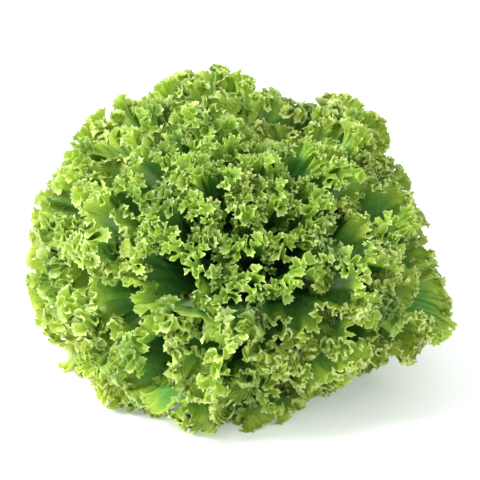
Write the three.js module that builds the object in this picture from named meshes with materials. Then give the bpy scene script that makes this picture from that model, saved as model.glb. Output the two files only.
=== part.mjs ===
// A loose-leaved, frilly lettuce head as cut, lying on its front leaves and on the edge of its
// cut stem. Every leaf is a thin closed solid of its own, and so is the stem they grow from.
//
// The head is laid out in a plant frame first: the stem's cut face is at the origin and the
// plant's axis is +Z. Leaves lie on nested shells, so no leaf cuts through another. The whole
// plant is then laid down, and pressed flat where it rests, by one smooth map of space.
// Millimetres, +Z up; the origin is on the resting surface, under the middle of the head.

import * as THREE from 'three';

const { clamp, degToRad, lerp, smoothstep } = THREE.MathUtils;

// ---- Driving dimensions --------------------------------------------------------------------

const LEAF_COUNT = 46;
const OUTER_LEAVES = 14; // wrap the head from behind
const FRILL_LEAVES = 20; // fill the crown; the rest are the small leaves of the heart
const GOLDEN_ANGLE = degToRad(137.508);
const FIRST_AZIMUTH = 0.4;

const STEM_RADIUS = 16;
const STEM_HEIGHT = 78;
const STEM_TAPER_START = 30;
const STEM_TAPER = 0.75; // share of the radius lost over the taper's length
const STEM_TAPER_LENGTH = 50;
const STEM_SHOULDER = 6; // the rounded tip above the last leaf
const STEM_GAP = 0.5; // between the stem and each leaf's foot
const STEM_SIDES = 24;

const HEAD_RADIUS = 132; // across the plant's axis
const CROWN_HEIGHT = 98; // from the head's centre up the axis to the crown
const CENTRE_HEIGHT = 88; // from the cut face up the axis to the head's centre
const AXIS_ELEVATION = degToRad(46); // how far the crown points up, as the head lies
const RIM_ANGLE_SPAN = degToRad(112); // from the outermost rim to the innermost, about the centre
const RIM_ANGLE_LAST = degToRad(3);
const RIM_ANGLE_POWER = 0.95;

const FIRST_FOOT = 7; // height of the first leaf's foot on the stem
const FOOT_RISE = 64; // from the first leaf's foot to the last one's
const FOOT_HALF_WIDTH = 11;
const FOOT_RISE_ANGLE = degToRad(28); // how steeply the outermost leaf leaves the stem
const FOOT_RISE_ANGLE_GAIN = degToRad(60);
const FOOT_RISE_ANGLE_POWER = 0.8;
const FOOT_HANDLE = 0.38; // how far a shell keeps its first direction, as a share of its chord
const RIM_HANDLE = 0.36;
const RIM_TURN = 1.02; // how much the rims curl outward, as a share of their angle
const PROFILE_STEPS = 48;

const BLADE_REACH = 1.02; // from the foot to the tip, as a share of the leaf's length
const BLADE_BASE = 0.12; // what is left of that reach at the sides of the foot
const BLADE_FULLNESS = 3; // how far round the fan the reach stays near its full length
const BLADE_CORNER = 0.25; // how sharply it then falls to the sides
const BLADE_FAN = degToRad(56); // half of the fan that the outermost leaf spreads over
const BLADE_FAN_LOSS = degToRad(11);
const HEART_START = 0.8;
const HEART_NARROWING = 4.2; // the innermost leaves are too narrow to roll round the axis
const HEART_BASE = 0.3; // BLADE_BASE for the heart leaves
const HEART_SWAY = 0.4; // how much of the rows' sway they take
const WRAP_LIMIT = 1.2; // radians that a blade can reach round the axis to either side
const WRAP_RADIUS_MIN = 4;
const RAY_SPREAD = 0.2; // how long the rays from the foot hug the midrib

// The head isn't quite round. The swellings go round it as seen from the front and a little
// above: `at` and `width` are degrees from +X, and `gain` is a share of the distance out.
const VIEW_TILT = degToRad(21);
const SWELLINGS = [
  { at: 99, width: 12, gain: 0.06 },
  { at: 76, width: 13, gain: -0.10 },
  { at: 48, width: 12, gain: 0.07 },
  { at: 28, width: 12, gain: -0.03 },
  { at: 142, width: 13, gain: 0.11 },
  { at: 167, width: 18, gain: 0.10 },
  { at: 202, width: 18, gain: 0.07 },
  { at: 245, width: 16, gain: 0.10 },
  { at: 266, width: 9, gain: 0.05 },
  { at: -15, width: 16, gain: 0.14 },
  { at: -54, width: 20, gain: -0.16 },
];
const STEM_FREE_FROM = 135; // degrees from the crown: from here on the head keeps its shape
const STEM_FREE_TO = 160;
const SLUMP_TOP = 60; // the leaves above this height aren't pressed
const SLUMP_DEPTH = 38; // how far below the surface an unpressed head would reach

// Rows of a leaf run from the foot to the margin, as shares of each ray from the foot. `shells`
// is the thickness and `sway` the waves in and out, both as shares of the step from one shell to
// the next; `scallop` is how far the margin's lobes stand out, in millimetres.
const MOST_COLUMNS = 32;
const MOST_HEART_COLUMNS = 16; // the small heart leaves need fewer
const ROWS = [
  { share: 0.0, columns: 4, shells: 1.6, sway: 0.0, scallop: 0.0 },
  { share: 0.14, columns: 8, shells: 0.4, sway: 0.0, scallop: 0.0 },
  { share: 0.34, columns: 16, shells: 0.22, sway: 0.0, scallop: 0.0 },
  { share: 0.68, columns: MOST_COLUMNS, shells: 0.17, sway: 0.08, scallop: 0.0 },
  { share: 1.0, columns: MOST_COLUMNS, shells: 0.0, sway: 0.5, scallop: 5.0 },
];

// ---- Helpers -------------------------------------------------------------------------------

/** Repeatable random numbers for one leaf's own size and twist. */
class Dice {
  constructor(seed) {
    this.state = (Math.imul(seed, 2654435761) + 12345) >>> 0;
    for (let i = 0; i < 3; i += 1) this.roll();
  }

  roll() {
    this.state = (Math.imul(this.state, 1664525) + 1013904223) >>> 0;
    return this.state / 2 ** 32;
  }

  between(low, high) {
    return lerp(low, high, this.roll());
  }
}

// ---- Nested shells -------------------------------------------------------------------------

function stemRadiusAt(height) {
  const rise = Math.max(0, height - STEM_TAPER_START);
  return STEM_RADIUS * (1 - (STEM_TAPER * rise) / STEM_TAPER_LENGTH);
}

/** The profile of shell `depth` (0 outermost, 1 innermost), from the stem to the head's surface. */
function shellProfile(depth) {
  const footHeight = FIRST_FOOT + FOOT_RISE * depth;
  const foot = new THREE.Vector2(stemRadiusAt(footHeight) + STEM_GAP, footHeight);
  const rim = RIM_ANGLE_SPAN * Math.max(0, 1 - depth) ** RIM_ANGLE_POWER + RIM_ANGLE_LAST;
  const end = new THREE.Vector2(
    HEAD_RADIUS * Math.sin(rim), CENTRE_HEIGHT + CROWN_HEIGHT * Math.cos(rim));
  const leave = FOOT_RISE_ANGLE + FOOT_RISE_ANGLE_GAIN * Math.max(0, depth) ** FOOT_RISE_ANGLE_POWER;
  const arrive = Math.PI / 2 - rim * RIM_TURN;
  const reach = foot.distanceTo(end);
  const toward = (angle) => new THREE.Vector2(Math.cos(angle), Math.sin(angle));
  const first = foot.clone().addScaledVector(toward(leave), FOOT_HANDLE * reach);
  const second = end.clone().addScaledVector(toward(arrive), -RIM_HANDLE * reach);
  return new THREE.CubicBezierCurve(foot, first, second, end);
}

/** A shell's profile as points with the length run along it so far. */
function measuredProfile(depth) {
  const points = shellProfile(depth).getPoints(PROFILE_STEPS);
  const runs = [0];
  for (let i = 1; i < points.length; i += 1) {
    runs.push(runs[i - 1] + points[i].distanceTo(points[i - 1]));
  }
  return { points, runs, length: runs[runs.length - 1] };
}

/** The point `run` millimetres along a profile, carried straight on past its end. */
function pointAlong(profile, run) {
  const { points, runs } = profile;
  let i = 1;
  while (i < runs.length - 1 && runs[i] < run) i += 1;
  const part = (run - runs[i - 1]) / (runs[i] - runs[i - 1]);
  return points[i - 1].clone().lerp(points[i], Math.max(0, part));
}

// ---- Laying the head down ------------------------------------------------------------------

const CENTRE_UP = CENTRE_HEIGHT * Math.sin(AXIS_ELEVATION) + STEM_RADIUS * Math.cos(AXIS_ELEVATION);
const LAY_DOWN = new THREE.Matrix4()
  .makeRotationX(Math.PI / 2 - AXIS_ELEVATION)
  .premultiply(new THREE.Matrix4().makeTranslation(0, 0, CENTRE_UP))
  .multiply(new THREE.Matrix4().makeTranslation(0, 0, -CENTRE_HEIGHT));
const FACING = new THREE.Vector3(0, -Math.cos(VIEW_TILT), Math.sin(VIEW_TILT));
const FACING_UP = new THREE.Vector3(0, Math.sin(VIEW_TILT), Math.cos(VIEW_TILT));
const CENTRE = new THREE.Vector3(0, 0, CENTRE_UP);

/** How far the head swells in a direction from its centre, as a factor. */
function swelling(direction) {
  const angle = Math.atan2(direction.dot(FACING_UP), direction.x);
  const sideways = 1 - direction.dot(FACING) ** 2;
  let factor = 1;
  for (const { at, width, gain } of SWELLINGS) {
    const off = angle - degToRad(at);
    const turn = Math.atan2(Math.sin(off), Math.cos(off)) / degToRad(width);
    factor += gain * Math.exp(-turn * turn) * sideways;
  }
  return factor;
}

/** Where the head's weight leaves a height, as the lower leaves give way to the surface. */
function pressedHeight(height) {
  if (height > SLUMP_TOP) return height;
  const depth = SLUMP_TOP + SLUMP_DEPTH;
  const left = Math.max(0, (height + SLUMP_DEPTH) / depth);
  return SLUMP_TOP * left ** (depth / SLUMP_TOP);
}

/** Lays a point of the plant frame down, with the head's swellings and its pressed underside. */
function settle(point) {
  const distance = Math.hypot(point.x, point.y, point.z - CENTRE_HEIGHT);
  const along = (point.z - CENTRE_HEIGHT) / distance;
  const fromCrown = THREE.MathUtils.radToDeg(Math.acos(clamp(along, -1, 1)));
  const leafy = 1 - smoothstep(fromCrown, STEM_FREE_FROM, STEM_FREE_TO);

  const placed = point.clone().applyMatrix4(LAY_DOWN).sub(CENTRE);
  const swell = swelling(placed.clone().normalize());
  placed.multiplyScalar(1 + (swell - 1) * leafy).add(CENTRE);
  placed.z = lerp(placed.z, pressedHeight(placed.z), leafy);
  return placed;
}

// ---- Leaves --------------------------------------------------------------------------------

/** The sizes that make leaf `index` (0 outermost) its own. */
function leafPlan(index) {
  const depth = (index + 0.5) / LEAF_COUNT;
  const heart = index >= OUTER_LEAVES + FRILL_LEAVES;
  const dice = new Dice(index + 1);
  const length = measuredProfile(depth).length * dice.between(0.95, 1.04);
  let fan = (BLADE_FAN - BLADE_FAN_LOSS * depth) * dice.between(0.92, 1.08);
  fan *= 1 - Math.max(0, depth - HEART_START) * HEART_NARROWING;
  return {
    depth,
    length,
    fan,
    azimuth: index * GOLDEN_ANGLE + FIRST_AZIMUTH,
    twist: dice.between(-0.06, 0.06),
    base: heart ? HEART_BASE : BLADE_BASE,
    sway: heart ? HEART_SWAY : 1,
    mostColumns: heart ? MOST_HEART_COLUMNS : MOST_COLUMNS,
  };
}

/** The flat leaf: a point at `across` (-1 to 1) and `share` (0 foot, 1 margin), in millimetres. */
function bladePoint(plan, across, share, scallop) {
  const lean = Math.sin((Math.PI / 2) * across);
  const fullness = (1 - Math.abs(lean) ** BLADE_FULLNESS) ** BLADE_CORNER;
  const reach = BLADE_REACH * plan.length * lerp(plan.base, 1, fullness) + scallop;
  const angle = plan.fan * lean * share ** RAY_SPREAD;
  const foot = FOOT_HALF_WIDTH * across;
  return { side: foot + reach * share * Math.sin(angle), up: reach * share * Math.cos(angle) };
}

/** Rolls the flat leaf onto the shell `depth` and lays it down with the head. */
function onShell(plan, depth, { side, up }) {
  const profile = measuredProfile(depth);
  const at = pointAlong(profile, up);
  const wrap = WRAP_LIMIT * Math.tanh(side / Math.max(at.x, WRAP_RADIUS_MIN) / WRAP_LIMIT);
  const azimuth = plan.azimuth + wrap + (plan.twist * up) / profile.length;
  return settle(new THREE.Vector3(at.x * Math.cos(azimuth), at.x * Math.sin(azimuth), at.y));
}

/** One row of a leaf: its outer and inner vertices, shared where the leaf runs out to nothing. */
function leafRow(plan, row, vertices) {
  const columns = Math.min(row.columns, plan.mostColumns);
  const outer = [];
  const inner = [];
  for (let column = 0; column <= columns; column += 1) {
    const across = (2 * column) / columns - 1;
    const wave = (Math.PI / 2) * (column % 4);
    const sway = plan.sway * row.sway * Math.sin(wave) * (1 - across ** 4);
    const scallop = -row.scallop * Math.cos(2 * wave) * (1 - across ** 4);
    const flat = bladePoint(plan, across, row.share, scallop);
    const depth = plan.depth + sway / LEAF_COUNT;
    const thickness = (row.shells * Math.sqrt(1 - across * across)) / LEAF_COUNT;
    outer.push(vertices.push(onShell(plan, depth, flat)) - 1);
    const shared = thickness === 0;
    inner.push(shared ? outer[column] : vertices.push(onShell(plan, depth + thickness, flat)) - 1);
  }
  return { outer, inner };
}

/**
 * Triangles between two rows, where the upper row has as many columns or twice as many. The outer
 * and inner sheets share their first column, so the first square is cut the other way: no triangle
 * is then common to both sheets.
 */
function strip(lower, upper) {
  const faces = [];
  const split = (upper.length - 1) / (lower.length - 1);
  for (let i = 0; i < lower.length - 1; i += 1) {
    const a = upper[i * split];
    const b = upper[i * split + split];
    if (split === 1 && i === 0) {
      faces.push([lower[i], lower[i + 1], a], [lower[i + 1], b, a]);
    } else if (split === 1) {
      faces.push([lower[i], lower[i + 1], b], [lower[i], b, a]);
    } else {
      const middle = upper[i * split + 1];
      faces.push([lower[i], lower[i + 1], middle], [lower[i], middle, a], [lower[i + 1], b, middle]);
    }
  }
  return faces;
}

const turned = (faces) => faces.map(([a, b, c]) => [a, c, b]);

function closedGeometry(vertices, faces) {
  const sound = faces.filter(([a, b, c]) => a !== b && b !== c && c !== a);
  const geometry = new THREE.BufferGeometry();
  const positions = vertices.flatMap((v) => [v.x, v.y, v.z]);
  geometry.setAttribute('position', new THREE.Float32BufferAttribute(positions, 3));
  geometry.setIndex(sound.flat());
  geometry.computeVertexNormals();
  return geometry;
}

/** A leaf as one closed solid: an outer sheet, an inner sheet and the face of its foot. */
function leafGeometry(plan) {
  const vertices = [];
  const rows = ROWS.map((row) => leafRow(plan, row, vertices));
  const faces = [];
  for (let r = 1; r < rows.length; r += 1) {
    faces.push(...strip(rows[r - 1].outer, rows[r].outer));
    faces.push(...turned(strip(rows[r - 1].inner, rows[r].inner)));
  }
  faces.push(...turned(strip(rows[0].outer, rows[0].inner)));
  return closedGeometry(vertices, faces);
}

// ---- Stem ----------------------------------------------------------------------------------

function stemGeometry() {
  const heights = [0, STEM_TAPER_START, STEM_HEIGHT - STEM_SHOULDER];
  const profile = [new THREE.Vector2(0, 0)];
  for (const height of heights) profile.push(new THREE.Vector2(stemRadiusAt(height), height));
  profile.push(new THREE.Vector2(0, STEM_HEIGHT));
  return new THREE.LatheGeometry(profile, STEM_SIDES).rotateX(Math.PI / 2);
}

// ---- Materials and the head ----------------------------------------------------------------

const leafMaterial = (color) => new THREE.MeshStandardMaterial({
  color, roughness: 0.45, metalness: 0, side: THREE.DoubleSide,
});
const OUTER_GREEN = leafMaterial(0x6f9a3a);
const FRILL_GREEN = leafMaterial(0x86b23c);
const HEART_GREEN = leafMaterial(0xa5c957);
const STEM_CREAM = new THREE.MeshStandardMaterial({ color: 0xdfe3b4, roughness: 0.6, metalness: 0 });

/** The name and the colour of leaf `index`, counted within its own ring of the head. */
function leafKind(index) {
  const number = (n) => String(n + 1).padStart(2, '0');
  if (index < OUTER_LEAVES) return { name: `outer_leaf_${number(index)}`, material: OUTER_GREEN };
  const inner = index - OUTER_LEAVES;
  if (inner < FRILL_LEAVES) return { name: `frill_leaf_${number(inner)}`, material: FRILL_GREEN };
  return { name: `heart_leaf_${number(inner - FRILL_LEAVES)}`, material: HEART_GREEN };
}

const lettuceHead = new THREE.Group();

const stem = new THREE.Mesh(stemGeometry(), STEM_CREAM);
stem.name = 'cut_stem';
LAY_DOWN.decompose(stem.position, stem.quaternion, stem.scale);
lettuceHead.add(stem);

for (let index = 0; index < LEAF_COUNT; index += 1) {
  const { name, material } = leafKind(index);
  const leaf = new THREE.Mesh(leafGeometry(leafPlan(index)), material);
  leaf.name = name;
  lettuceHead.add(leaf);
}

const extent = new THREE.Box3().setFromObject(lettuceHead, true);
const middle = extent.getCenter(new THREE.Vector3());
lettuceHead.position.set(-middle.x, -middle.y, -extent.min.z);

export default lettuceHead;
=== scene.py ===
"""A loose-leaved, frilly lettuce head as cut: the looks of its leaves and of its cut stem.

The head is laid out in a plant frame in millimetres, as its solids are: the stem's cut face is at
the origin and the plant's axis is +Z. Each leaf is one thin sheet that grows from its foot on the
stem to a margin ruffled at several sizes. The finished sheets are laid down with the head, and
written in metres where the frame's solids lie.
"""

import logging
import math
from dataclasses import dataclass, field
from enum import Enum

import bpy
import numpy as np
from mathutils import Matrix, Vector


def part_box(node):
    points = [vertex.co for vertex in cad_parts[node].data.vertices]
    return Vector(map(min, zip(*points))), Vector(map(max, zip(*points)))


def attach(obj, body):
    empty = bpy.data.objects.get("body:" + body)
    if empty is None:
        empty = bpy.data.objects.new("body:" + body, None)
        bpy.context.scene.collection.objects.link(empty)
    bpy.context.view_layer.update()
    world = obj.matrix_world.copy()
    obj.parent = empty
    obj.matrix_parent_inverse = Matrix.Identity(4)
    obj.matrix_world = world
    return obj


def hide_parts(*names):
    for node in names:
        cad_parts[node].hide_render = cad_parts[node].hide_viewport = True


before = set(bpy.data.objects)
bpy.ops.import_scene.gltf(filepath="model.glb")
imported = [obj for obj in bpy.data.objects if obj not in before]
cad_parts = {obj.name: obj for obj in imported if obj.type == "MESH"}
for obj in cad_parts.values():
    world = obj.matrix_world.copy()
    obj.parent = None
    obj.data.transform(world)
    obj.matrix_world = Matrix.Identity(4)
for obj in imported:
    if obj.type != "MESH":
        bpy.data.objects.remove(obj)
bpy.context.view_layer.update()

LOG = logging.getLogger("lettuce_head")
ROOT = "root"
MILLIMETRE = 0.001  # in metres
TINY = 1e-9
Colour = tuple[float, float, float]
Place = tuple[float, float, float]
Socket = bpy.types.NodeSocket


def smooth_step(low: float, high: float, value: np.ndarray | float) -> np.ndarray:
    """Rises smoothly from 0 to 1 between two values.

    Args:
        low: where the rise starts.
        high: where it ends.
        value: the numbers to map.

    Returns:
        The mapped numbers, from 0 to 1.
    """
    share = np.clip((value - low) / (high - low), 0.0, 1.0)
    return share * share * (3.0 - 2.0 * share)


def unit(vectors: np.ndarray) -> np.ndarray:
    """Scales vectors to length 1 along the last axis.

    Args:
        vectors: an array whose last axis has three numbers.

    Returns:
        The unit vectors.
    """
    return vectors / (np.linalg.norm(vectors, axis=-1, keepdims=True) + TINY)


def running_length(points: np.ndarray) -> np.ndarray:
    """Measures how far along a line of points each of them is.

    Args:
        points: the line, one point a row.

    Returns:
        The length run at each point, which starts at 0.
    """
    steps = np.linalg.norm(np.diff(points, axis=0), axis=1)
    return np.concatenate([[0.0], np.cumsum(steps)])


def summed(values: np.ndarray, run: np.ndarray) -> np.ndarray:
    """Adds values up along a line.

    Args:
        values: the value at each place.
        run: the places, in order.

    Returns:
        The sum up to each place, which starts at 0.
    """
    return np.concatenate([[0.0], np.cumsum((values[1:] + values[:-1]) / 2 * np.diff(run))])


def moving_mean(values: np.ndarray, run: np.ndarray, window: float) -> np.ndarray:
    """Averages values over a window that slides along a line.

    Args:
        values: one value, or one row of values, at each place.
        run: the places, in order.
        window: how long the window is.

    Returns:
        The average round each place.
    """
    table = values.reshape(len(run), -1)
    low = np.clip(run - window / 2, run[0], run[-1])
    high = np.clip(run + window / 2, run[0], run[-1])
    mean = np.empty_like(table)
    for column in range(table.shape[1]):
        total = summed(table[:, column], run)
        mean[:, column] = np.interp(high, run, total) - np.interp(low, run, total)
    return (mean / np.maximum(high - low, TINY)[:, None]).reshape(values.shape)


def wander(slope: np.ndarray, length: np.ndarray, run: np.ndarray, window: float) -> np.ndarray:
    """Adds a slope up along a line, and takes off the slow drift.

    Args:
        slope: the slope at each place.
        length: the line's own length at each place.
        run: the places, in order.
        window: how long a drift counts as slow.

    Returns:
        The height at each place.
    """
    height = summed(slope, length)
    return height - moving_mean(height, run, window)


def folded(angle: np.ndarray) -> np.ndarray:
    """Returns angles brought to within half a turn of 0."""
    return np.arctan2(np.sin(angle), np.cos(angle))


def faces_between(*corners: np.ndarray) -> np.ndarray:
    """Returns faces, one a row, from the point numbers at each of their corners."""
    return np.stack([corner.ravel() for corner in corners], axis=1)


def write_attribute(mesh: bpy.types.Mesh, name: str, values: np.ndarray) -> None:
    """Writes a number or a vector for each point of a mesh.

    Args:
        mesh: the mesh.
        name: the attribute's name.
        values: a number, or a row of three, for each point.
    """
    kind, slot = ("FLOAT_VECTOR", "vector") if values.ndim > 1 else ("FLOAT", "value")
    made = mesh.attributes.new(name, kind, "POINT")
    made.data.foreach_set(slot, values.astype(np.float32).ravel())


def add_object(name: str, data: bpy.types.ID) -> bpy.types.Object:
    """Adds an object to the scene.

    Args:
        name: the object's name.
        data: its mesh, camera or lamp.

    Returns:
        The object.
    """
    made = bpy.data.objects.new(name, data)
    bpy.context.scene.collection.objects.link(made)
    return made


class Dice:
    """Repeatable random numbers for one leaf's own size and twist, as its solid draws them."""

    MASK = 0xFFFFFFFF
    SPREAD, SHIFT = 2654435761, 12345
    FACTOR, STEP = 1664525, 1013904223
    WARM_UP = 3

    def __init__(self, seed: int) -> None:
        """Starts the sequence.

        Args:
            seed: a whole number, different for each leaf.
        """
        self.state = (seed * self.SPREAD + self.SHIFT) & self.MASK
        for _ in range(self.WARM_UP):
            self.roll()

    def roll(self) -> float:
        """Returns the next number, from 0 to 1."""
        self.state = (self.state * self.FACTOR + self.STEP) & self.MASK
        return self.state / 2**32

    def between(self, low: float, high: float) -> float:
        """Returns the next number, from low to high."""
        return low + (high - low) * self.roll()


class Ring(Enum):
    """The rings of leaves from the outside in: a node's prefix and its material slot."""

    OUTER = "outer_leaf"
    FRILL = "frill_leaf"
    HEART = "heart_leaf"


@dataclass(frozen=True)
class Shell:
    """The profile that one leaf follows from the stem to the head's surface."""

    runs: np.ndarray
    points: np.ndarray

    @property
    def length(self) -> float:
        """Returns the profile's length."""
        return float(self.runs[-1])

    def at(self, run: np.ndarray) -> tuple[np.ndarray, np.ndarray]:
        """Finds points along the profile, carried straight on past its end.

        Args:
            run: distances along the profile.

        Returns:
            The distance from the plant's axis and the height at each run.
        """
        radius = np.interp(run, self.runs, self.points[:, 0])
        height = np.interp(run, self.runs, self.points[:, 1])
        over = np.clip(run - self.length, 0.0, None)
        onward = unit(self.points[-1] - self.points[-2])
        return radius + over * onward[0], height + over * onward[1]


@dataclass(frozen=True)
class Plant:
    """The head's driving sizes, in the plant frame: millimetres, radians and shares."""

    leaf_count: int = 46
    outer_leaves: int = 14
    frill_leaves: int = 20
    golden_angle: float = math.radians(137.508)
    first_azimuth: float = 0.4
    stem_radius: float = 16.0
    stem_height: float = 78.0
    stem_taper_start: float = 30.0
    stem_taper: float = 0.75
    stem_taper_length: float = 50.0
    stem_gap: float = 0.5
    head_radius: float = 132.0
    crown_height: float = 98.0
    centre_height: float = 88.0
    rim_angle_span: float = math.radians(112)
    rim_angle_last: float = math.radians(3)
    rim_angle_power: float = 0.95
    first_foot: float = 7.0
    foot_rise: float = 64.0
    foot_rise_angle: float = math.radians(28)
    foot_rise_angle_gain: float = math.radians(60)
    foot_rise_angle_power: float = 0.8
    foot_handle: float = 0.38
    rim_handle: float = 0.36
    rim_turn: float = 1.02
    profile_steps: int = 64

    def ring_of(self, index: int) -> tuple[Ring, int]:
        """Finds a leaf's ring and its number there.

        Args:
            index: the leaf's place from the outside in, from 0.

        Returns:
            The ring and the leaf's number in it, from 1.
        """
        if index < self.outer_leaves:
            return Ring.OUTER, index + 1
        inner = index - self.outer_leaves
        if inner < self.frill_leaves:
            return Ring.FRILL, inner + 1
        return Ring.HEART, inner - self.frill_leaves + 1

    def depth_of(self, index: int) -> float:
        """Returns the shell that a leaf follows, from 0 outermost to 1 innermost."""
        return (index + 0.5) / self.leaf_count

    def azimuth_of(self, index: int) -> float:
        """Returns the way that a leaf grows from the axis."""
        return index * self.golden_angle + self.first_azimuth

    def stem_radius_at(self, height: float) -> float:
        """Returns the stem's radius at a height."""
        rise = max(0.0, height - self.stem_taper_start)
        return self.stem_radius * (1.0 - self.stem_taper * rise / self.stem_taper_length)

    def shell(self, depth: float) -> Shell:
        """Draws the profile of one shell.

        Args:
            depth: 0 for the outermost shell, 1 for the innermost.

        Returns:
            The shell's profile.
        """
        foot_height = self.first_foot + self.foot_rise * depth
        foot = np.array([self.stem_radius_at(foot_height) + self.stem_gap, foot_height])
        rim = self.rim_angle_span * (1.0 - depth) ** self.rim_angle_power + self.rim_angle_last
        end = np.array([
            self.head_radius * math.sin(rim),
            self.centre_height + self.crown_height * math.cos(rim),
        ])
        gain = self.foot_rise_angle_gain * depth**self.foot_rise_angle_power
        leave = self.foot_rise_angle + gain
        arrive = math.pi / 2 - rim * self.rim_turn
        reach = float(np.linalg.norm(end - foot))
        first = foot + self.foot_handle * reach * np.array([math.cos(leave), math.sin(leave)])
        second = end - self.rim_handle * reach * np.array([math.cos(arrive), math.sin(arrive)])
        t = np.linspace(0.0, 1.0, self.profile_steps)[:, None]
        points = (
            (1 - t) ** 3 * foot
            + 3 * (1 - t) ** 2 * t * first
            + 3 * (1 - t) * t**2 * second
            + t**3 * end
        )
        return Shell(running_length(points), points)


@dataclass(frozen=True)
class Swelling:
    """Where the head stands out of its round form, or falls short of it, seen from the front.

    The place and the width are in degrees, counted round from the right, and the gain is a share
    of the distance from the head's centre.
    """

    at: float
    width: float
    gain: float


@dataclass(frozen=True)
class Rest:
    """Lays the plant down on its front leaves and on the lower edge of its cut stem."""

    plant: Plant
    axis_elevation: float = math.radians(46)
    view_tilt: float = math.radians(21)
    free_from: float = 135.0
    free_to: float = 160.0
    slump_top: float = 60.0
    slump_depth: float = 38.0
    swellings: tuple[Swelling, ...] = (
        Swelling(99, 12, 0.06),
        Swelling(74, 14, -0.12),
        Swelling(48, 12, 0.07),
        Swelling(25, 13, -0.06),
        Swelling(121, 8, 0.05),
        Swelling(142, 13, 0.05),
        Swelling(167, 15, 0.13),
        Swelling(202, 18, 0.03),
        Swelling(245, 16, 0.10),
        Swelling(266, 9, 0.02),
        Swelling(-15, 16, 0.09),
        Swelling(-59, 18, -0.16),
    )

    @property
    def slant(self) -> tuple[float, float]:
        """Returns the sine and the cosine of the axis's elevation."""
        return math.sin(self.axis_elevation), math.cos(self.axis_elevation)

    @property
    def centre_up(self) -> float:
        """Returns the height of the head's centre as it lies, in millimetres."""
        rise, fall = self.slant
        return self.plant.centre_height * rise + self.plant.stem_radius * fall

    @property
    def stem_back(self) -> float:
        """Returns how far behind the head's centre the cut stem reaches, in millimetres."""
        rise, fall = self.slant
        return self.plant.centre_height * fall + self.plant.stem_radius * rise

    def origin(self) -> Vector:
        """Finds the head's centre in the frame, from where the frame has the cut stem.

        Returns:
            The centre on the resting surface, in metres.
        """
        low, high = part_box("cut_stem")
        return Vector(((low[0] + high[0]) / 2, high[1] - self.stem_back * MILLIMETRE, 0.0))

    def turned(self, points: np.ndarray) -> np.ndarray:
        """Turns points of the plant frame as the head lies, about its centre.

        Args:
            points: points in the plant frame.

        Returns:
            The points from the head's centre, in millimetres.
        """
        rise, fall = self.slant
        x, y, z = points[..., 0], points[..., 1], points[..., 2] - self.plant.centre_height
        return np.stack([x, rise * y - fall * z, fall * y + rise * z], axis=-1)

    def swelling(self, direction: np.ndarray) -> np.ndarray:
        """Finds how far the head swells.

        Args:
            direction: unit vectors from the head's centre.

        Returns:
            A factor on the distance from the centre, in each direction.
        """
        fall, rise = math.cos(self.view_tilt), math.sin(self.view_tilt)
        facing = rise * direction[..., 2] - fall * direction[..., 1]
        upward = rise * direction[..., 1] + fall * direction[..., 2]
        angle = np.arctan2(upward, direction[..., 0])
        factor = np.ones_like(angle)
        for swelling in self.swellings:
            turn = folded(angle - math.radians(swelling.at)) / math.radians(swelling.width)
            factor += swelling.gain * np.exp(-(turn**2)) * (1.0 - facing**2)
        return factor

    def pressed(self, height: np.ndarray) -> np.ndarray:
        """Finds where the head's weight leaves a height near the surface.

        Args:
            height: heights of an unpressed head.

        Returns:
            The heights as it rests.
        """
        depth = self.slump_top + self.slump_depth
        left = np.clip((height + self.slump_depth) / depth, 0.0, None)
        sunk = self.slump_top * left ** (depth / self.slump_top)
        return np.where(height > self.slump_top, height, sunk)

    def settled(self, points: np.ndarray) -> np.ndarray:
        """Lays points down with the head's swellings and its pressed underside.

        Args:
            points: points in the plant frame.

        Returns:
            The points as the head rests, in millimetres.
        """
        placed = self.turned(points)
        distance = np.linalg.norm(placed, axis=-1)
        along = (points[..., 2] - self.plant.centre_height) / (distance + TINY)
        from_crown = np.degrees(np.arccos(np.clip(along, -1.0, 1.0)))
        leafy = 1.0 - smooth_step(self.free_from, self.free_to, from_crown)
        factor = 1.0 + (self.swelling(unit(placed)) - 1.0) * leafy
        placed = placed * factor[..., None]
        placed[..., 2] += self.centre_up
        sunk = self.pressed(placed[..., 2])
        placed[..., 2] += (sunk - placed[..., 2]) * leafy
        return placed


@dataclass(frozen=True)
class Ruffle:
    """One size of wave along a leaf's margin, made by turning the way that the margin runs.

    The wavelength and the depth, which is how far in from the margin the waves begin, are in
    millimetres. The lean is how far the margin turns, in radians, and a higher onset keeps the
    waves nearer to it. The unevenness, the variety and the wandering are how much the waves differ
    in length, in strength and in phase. The windows are shares of the wavelength.
    """

    wavelength: float
    depth: float
    lean: float
    onset: float
    unevenness: float
    variety: float
    weakest: float = 0.25
    strongest: float = 1.8
    wandering: float = 0.8
    pace_window: float = 1.6
    drift_window: float = 2.4
    frame_window: float = 0.6
    least_pace: float = 0.25
    least_step: float = 0.1

    def train(self, rng: np.random.Generator, length: float) -> "WaveTrain":
        """Lays waves of uneven length along a margin.

        Args:
            rng: the leaf's own random numbers.
            length: how long the margin may be.

        Returns:
            The waves.
        """
        breaks = [-rng.uniform(0.0, self.wavelength)]
        while breaks[-1] < length + 2 * self.wavelength:
            half = self.wavelength / 2 * math.exp(rng.normal(0.0, self.unevenness))
            breaks.append(breaks[-1] + half)
        count = len(breaks)
        return WaveTrain(
            ruffle=self,
            breaks=np.array(breaks),
            phase=np.arange(count) * math.pi,
            strength=np.clip(
                1.0 + rng.normal(0.0, self.variety, count), self.weakest, self.strongest,
            ),
            drift=rng.normal(0.0, self.wandering, count),
        )


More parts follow.
